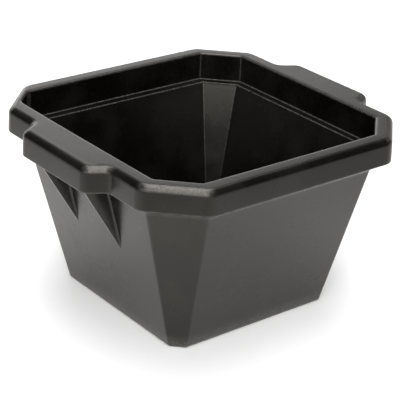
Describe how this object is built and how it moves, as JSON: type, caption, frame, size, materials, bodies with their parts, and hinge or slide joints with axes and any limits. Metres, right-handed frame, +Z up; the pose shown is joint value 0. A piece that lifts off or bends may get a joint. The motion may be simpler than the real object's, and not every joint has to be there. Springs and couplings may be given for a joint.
{
  "type": "mortar mixing tub",
  "caption": "Square tapered plastic tub with cut corners, an inner step near the mouth, a deep skirted rim and ribbed grip tabs on opposite sides, for mixing mortar.",
  "frame": {"origin": "centre of the underside of the base, on the surface the tub stands on", "axes": "+Z up, +X through the two grips, -Y towards the plain front side"},
  "size_m": [0.541, 0.48, 0.3],
  "materials": {
    "tub_plastic": "fine moulded grain, satin"
  },
  "bodies": {
    "root": {"floor_panel": "tub_plastic", "wall_front": "tub_plastic", "wall_right": "tub_plastic", "wall_back": "tub_plastic", "wall_left": "tub_plastic", "corner_wall_fr": "tub_plastic", "corner_wall_br": "tub_plastic", "corner_wall_bl": "tub_plastic", "corner_wall_fl": "tub_plastic", "step_front": "tub_plastic", "step_right": "tub_plastic", "step_back": "tub_plastic", "step_left": "tub_plastic", "step_corner_fr": "tub_plastic", "step_corner_br": "tub_plastic", "step_corner_bl": "tub_plastic", "step_corner_fl": "tub_plastic", "band_front": "tub_plastic", "band_right": "tub_plastic", "band_back": "tub_plastic", "band_left": "tub_plastic", "band_corner_fr": "tub_plastic", "band_corner_br": "tub_plastic", "band_corner_bl": "tub_plastic", "band_corner_fl": "tub_plastic", "rim_front": "tub_plastic", "rim_back": "tub_plastic", "rim_left_front": "tub_plastic", "rim_left_back": "tub_plastic", "rim_right_front": "tub_plastic", "rim_right_back": "tub_plastic", "rim_corner_fr": "tub_plastic", "rim_corner_br": "tub_plastic", "rim_corner_bl": "tub_plastic", "rim_corner_fl": "tub_plastic", "grip_left": "tub_plastic", "grip_right": "tub_plastic", "rib_left_front": "tub_plastic", "rib_left_back": "tub_plastic", "rib_right_front": "tub_plastic", "rib_right_back": "tub_plastic"}
  },
  "joints": []
}
